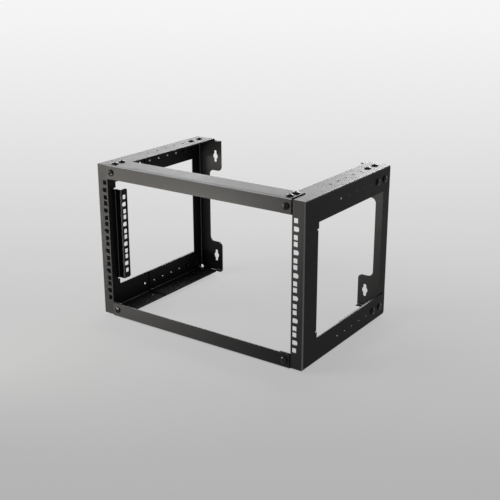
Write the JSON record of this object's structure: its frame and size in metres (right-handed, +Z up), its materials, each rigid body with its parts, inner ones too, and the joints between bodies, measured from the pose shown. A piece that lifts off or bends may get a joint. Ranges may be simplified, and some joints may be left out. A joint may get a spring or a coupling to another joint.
{
  "type": "wall-mount open frame rack",
  "caption": "Open wall rack frame of folded steel: side panels with square-hole rails, front crossbars and screwed wall brackets with keyhole ears.",
  "frame": {"origin": "bottom centre of the whole rack's box, under the middle of the frame, on the plane of the lowest screw heads", "axes": "+X to the right seen from the front, +Y from the open front back to the wall, +Z up"},
  "size_m": [0.5112, 0.3446, 0.3414],
  "materials": {
    "frame_paint": "satin black powder coat",
    "fastener_black": "black plated steel"
  },
  "bodies": {
    "root": {"right_side_panel": "frame_paint", "left_side_panel": "frame_paint", "right_wall_bracket": "frame_paint", "left_wall_bracket": "frame_paint", "top_crossbar": "frame_paint", "bottom_crossbar": "frame_paint", "top_left_corner_screws": "fastener_black", "top_right_corner_screws": "fastener_black", "bottom_left_corner_screws": "fastener_black", "bottom_right_corner_screws": "fastener_black", "top_left_arm_screws": "fastener_black", "top_right_arm_screws": "fastener_black", "bottom_left_arm_screws": "fastener_black", "bottom_right_arm_screws": "fastener_black", "top_left_corner_nuts": "fastener_black", "top_right_corner_nuts": "fastener_black", "bottom_left_corner_nuts": "fastener_black", "bottom_right_corner_nuts": "fastener_black", "top_left_arm_nuts": "fastener_black", "top_right_arm_nuts": "fastener_black", "bottom_left_arm_nuts": "fastener_black", "bottom_right_arm_nuts": "fastener_black"}
  },
  "joints": []
}
